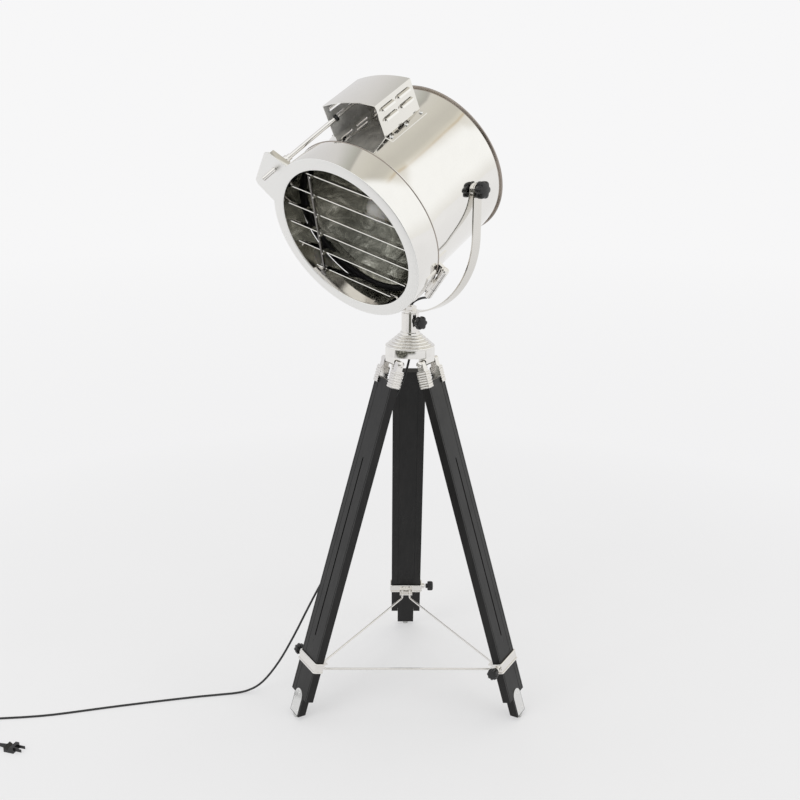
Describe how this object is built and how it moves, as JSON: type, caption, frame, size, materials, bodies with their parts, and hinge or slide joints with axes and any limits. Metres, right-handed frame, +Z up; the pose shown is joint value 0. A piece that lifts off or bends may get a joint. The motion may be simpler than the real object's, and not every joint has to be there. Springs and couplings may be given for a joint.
{
  "type": "tripod spotlight floor lamp",
  "caption": "Polished drum spotlight with a shuttered swing door and vent hood, in a tilting and turning yoke on a black wooden tripod with sliding legs.",
  "frame": {"origin": "the middle of the box around the lamp without its cord, on the floor", "axes": "+Z up; the drum looks toward -X and -Y and down"},
  "size_m": [1.2635, 0.5852, 1.383],
  "materials": {
    "nickel": "polished",
    "black_wood": "satin",
    "black_plastic": "satin",
    "rubber": "matte",
    "reflector": "polished",
    "glass": "frosted",
    "door_lining": "satin"
  },
  "bodies": {
    "tripod": {"bell": "nickel", "post_tube": "nickel", "strain_relief": "rubber", "leg_bolts": "nickel", "ferrules": "nickel", "side_rails": "black_wood", "leg_clamps": "nickel", "brace_rods": "nickel", "cord_lower": "rubber", "cord_coil": "rubber", "plug": "black_plastic"},
    "yoke": {"yoke_bar": "nickel", "yoke_stem": "nickel", "yoke_nut": "nickel", "cord_upper": "rubber"},
    "drum": {"drum_shell": "nickel", "rear_cover": "nickel", "trunnion_bushes": "nickel", "drum_hinge_leaf": "nickel", "hinge_pin": "nickel", "vent_hood": "nickel", "hood_screws": "nickel", "reflector": "reflector", "bulb": "glass", "lamp_socket": "black_plastic", "door_gasket": "rubber", "cord_gland": "rubber"},
    "door": {"door_ring": "nickel", "shutter_ring": "door_lining", "door_hinge_leaf": "nickel"},
    "latch_rod": {"latch_rod": "nickel"},
    "link_bar": {"link_bar": "nickel"},
    "pan_screw": {"pan_knob": "black_plastic"},
    "tilt_screw_near": {"tilt_knob_near": "black_plastic"},
    "tilt_screw_far": {"tilt_knob_far": "black_plastic"},
    "slat_1": {"slat_1": "nickel"},
    "slat_2": {"slat_2": "nickel"},
    "slat_3": {"slat_3": "nickel"},
    "slat_4": {"slat_4": "nickel"},
    "slat_5": {"slat_5": "nickel"},
    "slat_6": {"slat_6": "nickel"},
    "leg_slide_rear": {"slide_rear": "black_wood", "foot_plate_rear": "nickel", "foot_screws_rear": "nickel", "foot_pad_rear": "rubber"},
    "clamp_screw_rear": {"clamp_knob_rear": "black_plastic"},
    "leg_slide_left": {"slide_left": "black_wood", "foot_plate_left": "nickel", "foot_screws_left": "nickel", "foot_pad_left": "rubber"},
    "clamp_screw_left": {"clamp_knob_left": "black_plastic"},
    "leg_slide_right": {"slide_right": "black_wood", "foot_plate_right": "nickel", "foot_screws_right": "nickel", "foot_pad_right": "rubber"},
    "clamp_screw_right": {"clamp_knob_right": "black_plastic"}
  },
  "joints": [
    {"name": "pan", "type": "hinge", "parent": "tripod", "child": "yoke", "pos_m": [0.02402, -0.00603, 0.867], "axis": [0, 0, 1], "range_deg": [-170, 170]},
    {"name": "tilt", "type": "hinge", "parent": "yoke", "child": "drum", "pos_m": [0.02402, -0.00603, 1.167], "axis": [-0.7431, 0.6691, 0], "range_deg": [-10, 60], "deforming": ["cord_upper"]},
    {"name": "door_swing", "type": "hinge", "parent": "drum", "child": "door", "pos_m": [0.07307, -0.15055, 0.98561], "axis": [0.3034, -0.7198, 0.6243], "range_deg": [0, 120]},
    {"name": "slat_1_turn", "type": "hinge", "parent": "door", "child": "slat_1", "pos_m": [-0.08468, -0.07309, 0.97789], "axis": [-0.8025, 0.5379, 0.2581], "range_deg": [-38, 42]},
    {"name": "slat_2_turn", "type": "hinge", "parent": "door", "child": "slat_2", "pos_m": [-0.08855, -0.09776, 1.01723], "axis": [-0.8025, 0.5379, 0.2581], "range_deg": [-38, 42]},
    {"name": "slat_3_turn", "type": "hinge", "parent": "door", "child": "slat_3", "pos_m": [-0.09242, -0.12242, 1.05658], "axis": [-0.8025, 0.5379, 0.2581], "range_deg": [-38, 42]},
    {"name": "slat_4_turn", "type": "hinge", "parent": "door", "child": "slat_4", "pos_m": [-0.0963, -0.14708, 1.09593], "axis": [-0.8025, 0.5379, 0.2581], "range_deg": [-38, 42]},
    {"name": "slat_5_turn", "type": "hinge", "parent": "door", "child": "slat_5", "pos_m": [-0.10017, -0.17175, 1.13528], "axis": [-0.8025, 0.5379, 0.2581], "range_deg": [-38, 42]},
    {"name": "slat_6_turn", "type": "hinge", "parent": "door", "child": "slat_6", "pos_m": [-0.10405, -0.19641, 1.17463], "axis": [-0.8025, 0.5379, 0.2581], "range_deg": [-38, 42]},
    {"name": "link_bar_sway", "type": "hinge", "parent": "slat_1", "child": "link_bar", "pos_m": [-0.15548, -0.0573, 0.99604], "axis": [-0.8025, 0.5379, 0.2581], "range_deg": [-42, 38]},
    {"name": "latch_pull", "type": "slide", "parent": "door", "child": "latch_rod", "axis": [-0.7568, -0.211, -0.6187], "range_m": [0, 0.05]},
    {"name": "pan_screw_turn", "type": "hinge", "parent": "tripod", "child": "pan_screw", "pos_m": [0.02402, -0.00603, 0.8805], "axis": [0.6428, -0.766, 0], "range_deg": [-180, 180]},
    {"name": "tilt_screw_near_turn", "type": "hinge", "parent": "yoke", "child": "tilt_screw_near", "pos_m": [0.02402, -0.00603, 1.167], "axis": [0.7431, -0.6691, 0], "range_deg": [-180, 180]},
    {"name": "tilt_screw_far_turn", "type": "hinge", "parent": "yoke", "child": "tilt_screw_far", "pos_m": [0.02402, -0.00603, 1.167], "axis": [-0.7431, 0.6691, 0], "range_deg": [-180, 180]},
    {"name": "leg_slide_rear_extend", "type": "slide", "parent": "tripod", "child": "leg_slide_rear", "axis": [0, 0.2957, -0.9553], "range_m": [0, 0.3]},
    {"name": "clamp_screw_rear_turn", "type": "hinge", "parent": "tripod", "child": "clamp_screw_rear", "pos_m": [0.07402, 0.24437, 0.12726], "axis": [1, 0, 0], "range_deg": [-180, 180]},
    {"name": "leg_slide_left_extend", "type": "slide", "parent": "tripod", "child": "leg_slide_left", "axis": [-0.2561, -0.1479, -0.9553], "range_m": [0, 0.3]},
    {"name": "clamp_screw_left_turn", "type": "hinge", "parent": "tripod", "child": "clamp_screw_left", "pos_m": [-0.21784, -0.08793, 0.12726], "axis": [-0.5, 0.866, 0], "range_deg": [-180, 180]},
    {"name": "leg_slide_right_extend", "type": "slide", "parent": "tripod", "child": "leg_slide_right", "axis": [0.2561, -0.1479, -0.9553], "range_m": [0, 0.3]},
    {"name": "clamp_screw_right_turn", "type": "hinge", "parent": "tripod", "child": "clamp_screw_right", "pos_m": [0.21587, -0.17453, 0.12726], "axis": [-0.5, -0.866, 0], "range_deg": [-180, 180]}
  ],
  "couplings": [
    {"joint": "slat_2_turn", "follows": "slat_1_turn", "ratio": 1},
    {"joint": "slat_3_turn", "follows": "slat_1_turn", "ratio": 1},
    {"joint": "slat_4_turn", "follows": "slat_1_turn", "ratio": 1},
    {"joint": "slat_5_turn", "follows": "slat_1_turn", "ratio": 1},
    {"joint": "slat_6_turn", "follows": "slat_1_turn", "ratio": 1},
    {"joint": "link_bar_sway", "follows": "slat_1_turn", "ratio": -1}
  ]
}
